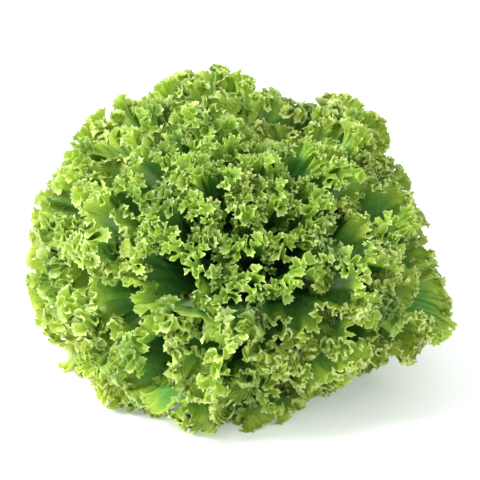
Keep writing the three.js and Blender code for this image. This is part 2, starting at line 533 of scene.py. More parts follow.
@dataclass(frozen=True)
class WaveTrain:
    """The waves of one ruffle along one margin."""

    ruffle: Ruffle
    breaks: np.ndarray
    phase: np.ndarray
    strength: np.ndarray
    drift: np.ndarray

    def at(self, run: np.ndarray) -> tuple[np.ndarray, np.ndarray, np.ndarray]:
        """Reads the waves at places along the margin.

        Args:
            run: distances along the margin.

        Returns:
            The phase, the strength, and how far the phase drifts inward.
        """
        phase = np.interp(run, self.breaks, self.phase)
        strength = np.interp(run, self.breaks, self.strength)
        drift = np.interp(run, self.breaks, self.drift)
        return phase, strength, drift


@dataclass
class Sheet:
    """A leaf as a grid: columns run round the margin, rows from the foot out to it.

    Every point knows its distance from the margin, the place on the smooth margin that it is
    nearest to, and where it lies on the flat leaf. The columns know how lively they are: the
    margin is calm where it runs along the sides of the foot.
    """

    points: np.ndarray
    inset: np.ndarray
    place: np.ndarray
    flat: np.ndarray
    liveliness: np.ndarray

    def margin_run(self) -> np.ndarray:
        """Returns the length run along the margin at each column."""
        return running_length(self.points[:, -1])

    def directions(self) -> tuple[np.ndarray, np.ndarray, np.ndarray]:
        """Finds the sheet's own directions.

        Returns:
            Unit vectors along the margin, out toward it, and off the leaf's back.
        """
        along = unit(np.gradient(self.points, axis=0))
        outward = np.gradient(self.points, axis=1)
        outward = unit(outward - (outward * along).sum(-1, keepdims=True) * along)
        return along, outward, np.cross(along, outward)

    def curl(self, train: WaveTrain, smooth: np.ndarray, run: np.ndarray) -> None:
        """Curls the sheet into rounded loops by turning the way it runs round the margin.

        Args:
            train: the waves that turn it.
            smooth: places on the smooth margin.
            run: the length run along the margin at each of them, as curled so far.
        """
        ruffle = train.ruffle
        place = np.interp(self.place, smooth, run)
        along, _, back = self.directions()
        phase, size, drift = train.at(place)
        near = np.clip(1.0 - self.inset / ruffle.depth, 0.0, 1.0)
        turn = ruffle.lean * near**ruffle.onset * size * np.sin(phase + drift * (1.0 - near))
        turn *= self.liveliness[:, None]
        pace_window, drift_window, frame_window = (
            share * ruffle.wavelength
            for share in (ruffle.pace_window, ruffle.drift_window, ruffle.frame_window)
        )
        side, off, drawn = (np.zeros_like(place) for _ in range(3))
        for row in range(1, place.shape[1]):
            here, before = place[:, row], place[:, row - 1]
            length = running_length(self.points[:, row])
            onward, across = np.cos(turn[:, row]), np.sin(turn[:, row])
            pace = np.maximum(moving_mean(onward, here, pace_window), ruffle.least_pace)
            side[:, row] = wander(onward / pace - 1.0, length, here, drift_window)
            off[:, row] = wander(across / pace, length, here, drift_window)
            step = self.inset[:, row - 1] - self.inset[:, row]
            rise = off[:, row] - np.interp(here, before, off[:, row - 1])
            left = np.maximum(step**2 - rise**2, ruffle.least_step * step**2)
            drawn[:, row] = np.interp(here, before, drawn[:, row - 1]) + (np.sqrt(left) - step)
            back[:, row] = unit(moving_mean(back[:, row], here, frame_window))
            along[:, row] = moving_mean(along[:, row], here, frame_window)
        along = unit(along - (along * back).sum(-1, keepdims=True) * back)
        outward = np.cross(back, along)
        self.points += off[..., None] * back + drawn[..., None] * outward + side[..., None] * along


@dataclass(frozen=True)
class Frills:
    """How one leaf is ruffled, from its broad waves to its teeth, which are in millimetres."""

    waves: tuple[Ruffle, ...]
    columns: int
    tooth_pitch: float = 3.0
    tooth_height: float = 2.4
    tooth_unevenness: float = 0.28
    tooth_point: float = 1.9
    smallest_tooth: float = 0.45
    tooth_set_back: float = 0.3


@dataclass(frozen=True)
class Blade:
    """The flat outline of a leaf, as a fan of rays from its foot.

    The insets are its rows' distances from the margin, in millimetres, and the strides are how
    many columns apart each row's points are.
    """

    base: float = 0.12
    fullness: float = 3.0
    corner: float = 0.25
    fan: float = math.radians(56)
    fan_loss: float = math.radians(11)
    fan_variety: tuple[float, float] = (0.92, 1.08)
    ray_spread: float = 0.2
    foot_half_width: float = 11.0
    heart_start: float = 0.8
    heart_narrowing: float = 4.2
    heart_base: float = 0.3
    lobes: tuple[tuple[float, float], ...] = ((2.3, 4.0), (5.1, 3.0), (11.7, 2.4), (19.3, 1.8))
    wrap_limit: float = 1.2
    wrap_radius_min: float = 4.0
    insets: tuple[float, ...] = (
        140, 110, 86, 68, 54, 43, 34, 27, 21, 16.4, 12.8, 9.8, 7.0, 4.4, 2.1, 0,
    )
    strides: tuple[int, ...] = (16, 16, 16, 16, 8, 8, 8, 4, 4, 4, 2, 2, 2, 1, 1, 1)

    @property
    def shares(self) -> np.ndarray:
        """Returns each row's share of the way from the foot to the margin."""
        return 1.0 - np.array(self.insets) / self.insets[0]

    def fan_of(self, depth: float, dice: Dice) -> float:
        """Draws how wide a leaf spreads.

        Args:
            depth: the leaf's shell, from 0 to 1.
            dice: the leaf's own random numbers.

        Returns:
            Half of the fan's angle.
        """
        fan = (self.fan - self.fan_loss * depth) * dice.between(*self.fan_variety)
        return fan * (1.0 - max(0.0, depth - self.heart_start) * self.heart_narrowing)


@dataclass(frozen=True)
class Tongue:
    """A stretch of a leaf's margin that stays smooth and stands out from the rest.

    The centre and the width are in the columns' own measure, from -1 at one side of the foot to 1
    at the other. The reach is in millimetres, and the calm is the share of the ruffles that goes.
    """

    centre: float
    width: float
    reach: float
    calm: float

    def at(self, across: np.ndarray) -> np.ndarray:
        """Returns the stretch's strength at each column, from 0 to 1."""
        return np.exp(-(((across - self.centre) / self.width) ** 2))


@dataclass
class Leaf:
    """One leaf: its own plan, its ruffled sheet, its midrib and its mesh, in millimetres.

    The foot's calm is the share of the ruffles that goes where the margin runs down to the foot.
    The least values keep the sheet's steps from closing up where its rays lean along the margin.
    """

    index: int
    plant: Plant
    rest: Rest
    blade: Blade
    frills: Frills
    tongue: Tongue
    material: bpy.types.Material
    seed: int = 1011
    seed_step: int = 7
    lobe_seed: int = 3
    length_variety: tuple[float, float] = (0.95, 1.04)
    twist_variety: tuple[float, float] = (-0.06, 0.06)
    survey_columns: int = 3072
    rib_width: float = 4.6
    rib_height: float = 3.4
    rib_taper: float = 0.8
    rib_sides: int = 6
    rib_end: float = 38.0
    rib_sink: float = 0.15
    rib_tip_width: float = 0.25
    floor_softness: float = 1.5
    floor_gap: float = 0.5
    floor_reach: float = 9.0
    skew_window: float = 60.0
    least_square: float = 0.04
    least_pace: float = 0.25
    least_margin: float = 0.3
    foot_calm_from: float = 0.80
    foot_calm_to: float = 0.99
    foot_calm: float = 0.88
    depth: float = field(init=False)
    shell: Shell = field(init=False)
    length: float = field(init=False)
    fan: float = field(init=False)
    twist: float = field(init=False)

    def __post_init__(self) -> None:
        """Draws the leaf's own sizes, in the order that its solid draws them."""
        dice = Dice(self.index + 1)
        self.depth = self.plant.depth_of(self.index)
        self.shell = self.plant.shell(self.depth)
        self.length = self.shell.length * dice.between(*self.length_variety)
        self.fan = self.blade.fan_of(self.depth, dice)
        self.twist = dice.between(*self.twist_variety)

    @property
    def node(self) -> str:
        """Returns the name of the leaf's node in the frame."""
        ring, number = self.plant.ring_of(self.index)
        return f"{ring.value}_{number:02d}"

    @property
    def own_seed(self) -> int:
        """Returns the number that starts the leaf's own random draws."""
        return self.seed + self.seed_step * self.index

    def plain_sheet(self, across: np.ndarray) -> Sheet:
        """Lays the leaf's unruffled sheet on its shell.

        Args:
            across: each column's place, from -1 at one side of the foot to 1 at the other.

        Returns:
            The sheet as the head rests.
        """
        blade = self.blade
        lean = np.sin(math.pi / 2 * across)
        full = (1.0 - np.abs(lean) ** blade.fullness) ** blade.corner
        heart = self.plant.ring_of(self.index)[0] is Ring.HEART
        base = blade.heart_base if heart else blade.base
        reach = self.length * (base + (1.0 - base) * full)
        smooth = self.tongue.at(across)
        reach += self.lobing(across) * full + self.tongue.reach * smooth
        share = blade.shares[None, :]
        angle = (self.fan * lean)[:, None] * share**blade.ray_spread
        side = blade.foot_half_width * across[:, None] + reach[:, None] * share * np.sin(angle)
        up = reach[:, None] * share * np.cos(angle)
        radius, height = self.shell.at(up)
        wrap = side / np.maximum(radius, blade.wrap_radius_min) / blade.wrap_limit
        azimuth = (
            self.plant.azimuth_of(self.index)
            + blade.wrap_limit * np.tanh(wrap)
            + self.twist * up / self.shell.length
        )
        grown = np.stack([radius * np.cos(azimuth), radius * np.sin(azimuth), height], axis=-1)
        points = self.rest.settled(grown)
        run = running_length(points[:, -1])
        margin = unit(np.gradient(points[:, -1], axis=0))
        skew = (margin * unit(points[:, -1] - points[:, -2])).sum(-1)
        skew = moving_mean(skew, run, self.skew_window)[:, None]
        square = np.sqrt(np.clip(1.0 - skew**2, self.least_square, 1.0))
        left = reach[:, None] * (1.0 - share)
        place = run[:, None] - left * skew
        pace = np.maximum(np.diff(place, axis=0), self.least_pace * np.diff(run)[:, None])
        pace *= np.maximum(place[-1] - place[0], self.least_margin * run[-1]) / pace.sum(axis=0)
        near_foot = smooth_step(self.foot_calm_from, self.foot_calm_to, np.abs(across))
        liveliness = square[:, 0] * (1.0 - self.foot_calm * near_foot)
        return Sheet(
            points=points,
            inset=left * square,
            place=np.vstack([place[:1], place[:1] + np.cumsum(pace, axis=0)]),
            flat=np.stack([side, up], axis=-1),
            liveliness=liveliness * (1.0 - self.tongue.calm * smooth),
        )

    def lobing(self, across: np.ndarray) -> np.ndarray:
        """Finds how far the margin's lobes stand out.

        Args:
            across: each column's place.

        Returns:
            The distance at each column, in millimetres.
        """
        rng = np.random.default_rng(self.own_seed + self.lobe_seed)
        return sum(
            height * np.sin(math.pi * count * across + rng.uniform(0.0, 2 * math.pi))
            for count, height in self.blade.lobes
        )

    def ruffled_sheet(self) -> Sheet:
        """Ruffles the leaf's sheet, from its broad waves to the teeth of its margin.

        Returns:
            The finished sheet.
        """
        rng = np.random.default_rng(self.own_seed)
        survey = np.linspace(-1.0, 1.0, self.survey_columns + 1)
        trial = self.plain_sheet(survey)
        smooth = trial.margin_run()
        trains, runs = [], [smooth]
        for ruffle in self.frills.waves:
            trains.append(ruffle.train(rng, runs[-1][-1]))
            trial.curl(trains[-1], smooth, runs[-1])
            runs.append(trial.margin_run())
        columns = self.frills.columns
        even = np.interp(np.linspace(0.0, runs[-1][-1], columns + 1), runs[-1], survey)
        sheet = self.plain_sheet(even)
        for train, run in zip(trains, runs):
            sheet.curl(train, smooth, run)
        self.cut_teeth(sheet, rng)
        self.keep_off_surface(sheet)
        return sheet

    def cut_teeth(self, sheet: Sheet, rng: np.random.Generator) -> None:
        """Cuts small uneven teeth into the margin.

        Args:
            sheet: the sheet to cut.
            rng: the leaf's own random numbers.
        """
        _, outward, _ = sheet.directions()
        run = sheet.margin_run()
        frills = self.frills
        count = int(2 * run[-1] / frills.tooth_pitch) + 2
        uneven = np.exp(rng.normal(0.0, frills.tooth_unevenness, count))
        ends = np.cumsum(frills.tooth_pitch * uneven)
        tooth = np.searchsorted(ends, run)
        starts = np.concatenate([[0.0], ends])
        share = (run - starts[tooth]) / (ends[tooth] - starts[tooth])
        peak = (1.0 - np.abs(2.0 * share - 1.0)) ** frills.tooth_point
        size = rng.uniform(frills.smallest_tooth, 1.0, count)[tooth] * sheet.liveliness
        height = size * frills.tooth_height * (peak - frills.tooth_set_back)
        sheet.points[:, -1] += outward[:, -1] * height[:, None]

    def keep_off_surface(self, sheet: Sheet) -> None:
        """Rounds off frills that would reach below the resting surface, just above it.

        Args:
            sheet: the sheet to lift.
        """
        height = sheet.points[..., 2]
        over = (np.minimum(height, self.floor_reach) - self.floor_gap) / self.floor_softness
        lifted = self.floor_softness * np.log1p(np.exp(over))
        sheet.points[..., 2] = np.where(height > self.floor_reach, height, lifted)

    def midrib(self, sheet: Sheet) -> tuple[np.ndarray, np.ndarray]:
        """Builds the rounded rib on the leaf's back, as a strip that sinks into the sheet.

        Args:
            sheet: the finished sheet.

        Returns:
            The rib's points, one row a station, and their places on the flat leaf.
        """
        stride = self.blade.strides[0]
        columns = len(sheet.points)
        middle = int(np.argmin(np.abs(sheet.flat[::stride, -1, 0]))) * stride
        middle = min(max(middle, stride), columns - 1 - stride)
        rows = [row for row, inset in enumerate(self.blade.insets) if inset >= self.rib_end]
        along, _, back = sheet.directions()
        share = np.linspace(1.0, 0.0, len(rows))[:, None, None]
        ends = -self.rib_sink, math.pi + self.rib_sink
        turn = np.linspace(*ends, self.rib_sides + 1)[None, :, None]
        width = self.rib_width * (self.rib_tip_width + (1.0 - self.rib_tip_width) * share)
        height = self.rib_height * share**self.rib_taper
        centre = sheet.points[middle, rows][:, None]
        sideways = along[middle, rows][:, None] * width * np.cos(turn)
        points = centre + sideways + back[middle, rows][:, None] * (height * np.sin(turn))
        flat = np.zeros(points.shape[:2] + (2,))
        flat[..., 1] = sheet.flat[middle, rows, 1][:, None]
        return points, flat

    def build(self, origin: Vector) -> bpy.types.Object:
        """Makes the leaf's mesh object.

        Args:
            origin: the head's centre in the frame, in metres.

        Returns:
            The leaf, riding on the head and standing for its solid.
        """
        sheet = self.ruffled_sheet()
        mesh = SheetMesh(self.blade.strides)
        mesh.add_sheet(sheet)
        mesh.add_strip(*self.midrib(sheet))
        leaf = mesh.finish(f"{self.node}_blade", self.material, origin)
        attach(leaf, ROOT)
        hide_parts(self.node)
        self.plant.ring_of(self.index)[0].value
        return leaf


class SheetMesh:
    """Gathers a leaf's points and faces, and writes them as one mesh."""

    STRIP_INSET = 80.0
    STRIP_PLACE = 0.5

    def __init__(self, strides: tuple[int, ...]) -> None:
        """Starts an empty mesh.

        Args:
            strides: how many columns apart each row's points are.
        """
        self.strides = strides
        self.points: list[np.ndarray] = []
        self.inset: list[np.ndarray] = []
        self.flat: list[np.ndarray] = []
        self.place: list[np.ndarray] = []
        self.quads: list[np.ndarray] = []
        self.triangles: list[np.ndarray] = []
        self.count = 0

    def keep(
        self, points: np.ndarray, inset: np.ndarray, flat: np.ndarray, place: np.ndarray,
    ) -> None:
        """Adds points and what is known about each of them.

        Args:
            points: the points, in millimetres.
            inset: their distances from the margin.
            flat: their places on the flat leaf.
            place: their places on the leaf's map, from 0 to 1.
        """
        self.points.append(points)
        self.inset.append(inset)
        self.flat.append(flat)
        self.place.append(place)
        self.count += len(points)

    def add_sheet(self, sheet: Sheet) -> None:
        """Adds a ruffled sheet, with fewer points in the rows near its foot.

        Args:
            sheet: the sheet.
        """
        columns, rows = sheet.inset.shape
        number = -np.ones((columns, rows), int)
        for row, stride in enumerate(self.strides):
            kept = np.arange(0, columns, stride)
            number[kept, row] = self.count + np.arange(len(kept))
            place = np.stack([kept / (columns - 1), np.full(len(kept), row / (rows - 1))], axis=-1)
            self.keep(
                sheet.points[kept, row], sheet.inset[kept, row], sheet.flat[kept, row], place,
            )
        for row in range(rows - 1):
            wide, fine = self.strides[row], self.strides[row + 1]
            start = np.arange(0, columns - 1, wide)
            lower = number[start, row], number[start + wide, row]
            upper = number[start, row + 1], number[start + wide, row + 1]
            if wide == fine:
                self.quads.append(faces_between(lower[0], lower[1], upper[1], upper[0]))
                continue
            middle = number[start + fine, row + 1]
            self.triangles.append(faces_between(lower[0], middle, upper[0]))
            self.triangles.append(faces_between(lower[0], lower[1], middle))
            self.triangles.append(faces_between(lower[1], upper[1], middle))

    def add_strip(self, points: np.ndarray, flat: np.ndarray) -> None:
        """Adds a strip of quads, such as the rounded midrib.

        Args:
            points: the strip's points, as rows of equal length.
            flat: their places on the flat leaf.
        """
        rows, columns = points.shape[:2]
        number = self.count + np.arange(rows * columns).reshape(rows, columns)
        place = np.full((rows * columns, 2), self.STRIP_PLACE)
        inset = np.full(rows * columns, self.STRIP_INSET)
        self.keep(points.reshape(-1, 3), inset, flat.reshape(-1, 2), place)
        self.quads.append(
            faces_between(number[:-1, :-1], number[:-1, 1:], number[1:, 1:], number[1:, :-1])
        )

    def finish(self, name: str, material: bpy.types.Material, origin: Vector) -> bpy.types.Object:
        """Writes the mesh with its attributes and its map.

        Args:
            name: the object's name.
            material: the finish of the whole mesh.
            origin: what is added to every point, in metres.

        Returns:
            The new object, linked to the scene.
        """
        quads, triangles = np.concatenate(self.quads), np.concatenate(self.triangles)
        corners = np.concatenate([quads.ravel(), triangles.ravel()])
        starts = np.concatenate([
            np.arange(len(quads)) * 4, len(quads) * 4 + np.arange(len(triangles)) * 3,
        ])
        mesh = bpy.data.meshes.new(name)
        mesh.vertices.add(self.count)
        points = np.concatenate(self.points) * MILLIMETRE + np.array(origin)
        mesh.vertices.foreach_set("co", points.astype(np.float32).ravel())
        mesh.loops.add(len(corners))
        mesh.loops.foreach_set("vertex_index", corners.astype(np.int32))
        mesh.polygons.add(len(starts))
        mesh.polygons.foreach_set("loop_start", starts.astype(np.int32))
        mesh.polygons.foreach_set("use_smooth", np.ones(len(starts), bool))
        mesh.update(calc_edges=True)
        write_attribute(mesh, "inset", np.concatenate(self.inset))
        flat = np.pad(np.concatenate(self.flat), ((0, 0), (0, 1)))
        write_attribute(mesh, "flat", flat)
        chart = mesh.uv_layers.new(name="OFBake")
        place = np.concatenate(self.place)[corners]
        chart.data.foreach_set("uv", place.astype(np.float32).ravel())
        mesh.materials.append(material)
        return add_object(name, mesh)


class NodeBench:
    """A short way to lay out a material's nodes."""

    MIX_INPUTS, MIX_RESULT = (0, 6, 7), 2  # the Mix node's sockets for colours

    def __init__(self, name: str) -> None:
        """Starts an empty material.

        Args:
            name: the material's name.
        """
        self.material = bpy.data.materials.new(name)
        self.material.use_nodes = True
        self.tree = self.material.node_tree
        self.tree.nodes.clear()

    def node(self, kind: str, settings: dict | None = None, **sockets: object) -> bpy.types.Node:
        """Adds a node.

        Args:
            kind: the node's type, without its ShaderNode prefix.
            settings: the node's own settings.
            sockets: a value, or another node's output, for each input; _ stands for a space.

        Returns:
            The node.
        """
        made = self.tree.nodes.new(f"ShaderNode{kind}")
        for name, value in (settings or {}).items():
            setattr(made, name, value)
        for name, value in sockets.items():
            self.feed(made.inputs[name.replace("_", " ")], value)
        return made

    def feed(self, socket: Socket, value: object) -> None:
        """Sets an input to a value, or links an output to it.

        Args:
            socket: the input.
            value: a number, a colour or an output.
        """
        if isinstance(value, Socket):
            self.tree.links.new(value, socket)
        elif isinstance(value, tuple) and socket.type == "RGBA":
            socket.default_value = (*value, 1.0)
        else:
            socket.default_value = value

    def place(self) -> Socket:
        """Returns the place on the object."""
        return self.node("TexCoord").outputs["Object"]

    def attribute(self, name: str, output: str = "Fac") -> Socket:
        """Returns what the mesh knows about each point under a name."""
        return self.node("Attribute", {"attribute_name": name}).outputs[output]

    def noise(
        self, place: Socket, scale: float, detail: float = 2.0, roughness: float = 0.5,
    ) -> Socket:
        """Spreads soft noise over the object.

        Args:
            place: the place on the object.
            scale: how many blotches there are to a metre.
            detail: how many finer layers it has.
            roughness: how strong the finer layers are.

        Returns:
            The noise, from 0 to 1.
        """
        made = self.node("TexNoise", Vector=place, Scale=scale, Detail=detail, Roughness=roughness)
        return made.outputs["Fac"]

    def math(self, operation: str, *values: object) -> Socket:
        """Adds one arithmetic step.

        Args:
            operation: its name, such as MULTIPLY.
            values: numbers or outputs, in order.

        Returns:
            The result.
        """
        made = self.node("Math", {"operation": operation})
        for socket, value in zip(made.inputs, values):
            self.feed(socket, value)
        return made.outputs[0]

    def plus(self, first: object, second: object) -> Socket:
        """Returns the sum of two values."""
        return self.math("ADD", first, second)

    def minus(self, first: object, second: object) -> Socket:
        """Returns the first value less the second."""
        return self.math("SUBTRACT", first, second)

    def times(self, first: object, second: object) -> Socket:
        """Returns the product of two values."""
        return self.math("MULTIPLY", first, second)

    def mix(self, share: object, first: object, second: object) -> Socket:
        """Mixes two colours.

        Args:
            share: how much of the second one shows.
            first: a colour or an output.
            second: a colour or an output.

        Returns:
            The mixed colour.
        """
        made = self.node("Mix", {"data_type": "RGBA"})
        for number, value in zip(self.MIX_INPUTS, (share, first, second)):
            self.feed(made.inputs[number], value)
        return made.outputs[self.MIX_RESULT]

    def ramp(self, value: object, stops: list[tuple[float, Colour]]) -> Socket:
        """Turns a number from 0 to 1 into a colour.

        Args:
            value: the number's output.
            stops: places and colours, in order.

        Returns:
            The colour.
        """
        made = self.node("ValToRGB", Fac=value)
        elements = made.color_ramp.elements
        elements[0].position, elements[0].color = stops[0][0], (*stops[0][1], 1.0)
        elements[1].position, elements[1].color = stops[-1][0], (*stops[-1][1], 1.0)
        for place, colour in stops[1:-1]:
            elements.new(place).color = (*colour, 1.0)
        return made.outputs[0]

    def rescale(
        self, value: object, low: float, high: float, first: float = 0.0, last: float = 1.0,
    ) -> Socket:
        """Maps a number smoothly from one span to another.

        Args:
            value: the number's output.
            low: the first span's start.
            high: the first span's end.
            first: the second span's start.
            last: the second span's end.

        Returns:
            The mapped number.
        """
        made = self.node("MapRange", {"interpolation_type": "SMOOTHSTEP"}, Value=value)
        spans = {"From Min": low, "From Max": high, "To Min": first, "To Max": last}
        for name, number in spans.items():
            made.inputs[name].default_value = number
        return made.outputs[0]

    def skin(self, colour: object, gloss: object, **sockets: object) -> bpy.types.Node:
        """Adds a surface.

        Args:
            colour: its colour.
            gloss: its roughness, from 0 to 1.
            sockets: its other inputs.

        Returns:
            The surface's node.
        """
        return self.node("BsdfPrincipled", Base_Color=colour, Roughness=gloss, **sockets)

    def finish(self, surface: bpy.types.Node) -> bpy.types.Material:
        """Returns the material, which shows the given node's shading."""
        self.node("OutputMaterial", Surface=surface.outputs[0])
        return self.material


@dataclass(frozen=True)
class LeafFinish:
    """The finish of one ring's leaves: waxy green, paler to the margin and along the ribs, and darker
    inward, partly as painted shade.

    Reaches, spacings and widths are in millimetres of leaf.
    """

    name: str
    rim: Colour
    frill: Colour
    blade: Colour
    # the green deep in the leaf: partly its own darker green, partly painted shade of the hollows
    # inside the head
    deep_green_and_shade: Colour
    rib: Colour = (0.55, 0.68, 0.38)
    bluish: Colour = (0.07, 0.26, 0.08)
    yellowish: Colour = (0.58, 0.66, 0.09)
    rim_translucency: float = 0.36
    blade_translucency: float = 0.14
    roughness: float = 0.40
    roughness_variety: float = 0.08
    frill_reach: float = 50.0
    rib_strength: float = 0.75
    rib_foot_width: float = 9.0
    rib_tip_width: float = 1.6
    vein_strength: float = 0.28
    vein_spacing: float = 13.0
    vein_slant: float = 0.8
    cell_relief: float = 0.35
    crinkle_relief: float = 0.5
    vein_relief: float = 0.9

    def make(self) -> bpy.types.Material:
        """Lays out the material.

        Returns:
            The material.
        """
        bench = NodeBench(self.name)
        place, inset = bench.place(), bench.attribute("inset")
        ribs, veins = self.ribs(bench, inset)
        colour = self.greens(bench, place, inset)
        colour = bench.mix(bench.times(ribs, self.rib_strength), colour, self.rib)
        colour = bench.mix(bench.times(veins, self.vein_strength), colour, self.rib)

        crinkle = bench.noise(place, scale=330.0, detail=4.0, roughness=0.55)
        cells = bench.node("TexVoronoi", {"feature": "DISTANCE_TO_EDGE"}, Vector=place, Scale=260.0)
        raised = bench.rescale(cells.outputs["Distance"], low=0.0, high=0.25)
        relief = bench.times(raised, self.cell_relief)
        relief = bench.plus(relief, bench.times(crinkle, self.crinkle_relief))
        relief = bench.minus(relief, bench.times(veins, self.vein_relief))
        bump = bench.node("Bump", Strength=0.45, Distance=0.0006, Height=relief).outputs[0]
        dull, shiny = self.roughness + self.roughness_variety, self.roughness - self.roughness_variety
        gloss = bench.rescale(crinkle, low=0.3, high=0.7, first=shiny, last=dull)

        mixed = bench.node("MixShader", Fac=bench.rescale(
            inset, low=4.0, high=34.0, first=self.rim_translucency, last=self.blade_translucency,
        ))
        surface = bench.skin(colour, gloss, Normal=bump, Specular_IOR_Level=0.5)
        through = bench.node("BsdfTranslucent", Color=colour, Normal=bump)
        bench.feed(mixed.inputs[1], surface.outputs[0])
        bench.feed(mixed.inputs[2], through.outputs[0])
        return bench.finish(mixed)

    def greens(self, bench: NodeBench, place: Socket, inset: Socket) -> Socket:
        """Draws the leaf's green, from the pale margin in, with bluish and yellowish patches.

        Args:
            bench: the material's nodes.
            place: the place on the object.
            inset: the distance from the margin.

        Returns:
            The colour.
        """
        # painted shade: the greens darken from the margin in, frill to blade to deep, partly as the
        # leaf's own colour and partly as painted shade of the cups and hollows inside the head
        colour = bench.ramp(bench.math("DIVIDE", inset, self.frill_reach), [
            (0.0, self.rim), (0.018, self.frill), (0.12, self.frill), (0.36, self.blade),
            (1.0, self.deep_green_and_shade),
        ])
        patches = bench.noise(place, scale=38.0, detail=3.0, roughness=0.6)
        colour = bench.mix(bench.rescale(patches, low=0.48, high=0.72, last=0.55), colour, self.bluish)
        spots = bench.rescale(bench.noise(place, scale=85.0), low=0.52, high=0.75, last=0.5)
        near_rim = bench.rescale(inset, low=3.0, high=22.0, first=1.0, last=0.25)
        return bench.mix(bench.times(spots, near_rim), colour, self.yellowish)

    def ribs(self, bench: NodeBench, inset: Socket) -> tuple[Socket, Socket]:
        """Draws the midrib and the side veins that leave it.

        Args:
            bench: the material's nodes.
            inset: the distance from the margin.

        Returns:
            How much of the midrib and of the veins shows.
        """
        flat = bench.node("SeparateXYZ", Vector=bench.attribute("flat", "Vector"))
        side, up = bench.math("ABSOLUTE", flat.outputs["X"]), flat.outputs["Y"]
        width = bench.rescale(
            up, low=0.0, high=150.0, first=self.rib_foot_width, last=self.rib_tip_width,
        )
        ribs = bench.rescale(bench.math("DIVIDE", side, width), low=0.35, high=1.2, first=1.0, last=0.0)
        near_foot = bench.rescale(up, low=30.0, high=60.0, first=1.0, last=0.0)
        ends = bench.math("MAXIMUM", bench.rescale(inset, low=5.0, high=26.0), near_foot)
        slant = bench.minus(up, bench.times(side, self.vein_slant))
        wave = bench.math("SINE", bench.times(slant, 2 * math.pi / self.vein_spacing))
        veins = bench.times(
            bench.rescale(wave, low=0.86, high=1.0), bench.rescale(inset, low=8.0, high=40.0),
        )
        return bench.times(ribs, ends), veins


@dataclass(frozen=True)
class StemFinish:
    """The finish of the cut stem: moist cream-green, browned where it was cut."""

    name: str = "cut_stem_flesh"
    skin: Colour = (0.50, 0.58, 0.26)
    flesh: Colour = (0.76, 0.78, 0.50)
    ring: Colour = (0.50, 0.36, 0.17)
    browned: Colour = (0.58, 0.44, 0.24)
    ring_wobble: float = 0.16
    wobble_relief: float = 0.6

    def make(self) -> bpy.types.Material:
        """Lays out the material.

        Returns:
            The material.
        """
        bench = NodeBench(self.name)
        place = bench.place()
        wobble = bench.noise(place, scale=160.0, detail=3.0)
        streaks = bench.noise(place, scale=300.0, detail=5.0, roughness=0.65)
        inner = bench.minus(bench.attribute("radial"), self.ring_wobble / 2)
        cut = bench.ramp(bench.plus(bench.times(wobble, self.ring_wobble), inner), [
            (0.0, self.flesh), (0.55, self.flesh), (0.68, self.ring), (0.78, self.flesh),
            (1.0, self.browned),
        ])
        cut = bench.mix(bench.rescale(streaks, low=0.45, high=0.75, last=0.6), cut, self.browned)
        skin = bench.mix(bench.rescale(streaks, low=0.35, high=0.7), self.skin, self.flesh)
        colour = bench.mix(bench.attribute("cut"), skin, cut)
        relief = bench.plus(streaks, bench.times(wobble, self.wobble_relief))
        bump = bench.node("Bump", Strength=0.5, Distance=0.0008, Height=relief).outputs[0]
        gloss = bench.rescale(streaks, low=0.3, high=0.7, first=0.38, last=0.62)
        return bench.finish(bench.skin(colour, gloss, Normal=bump))


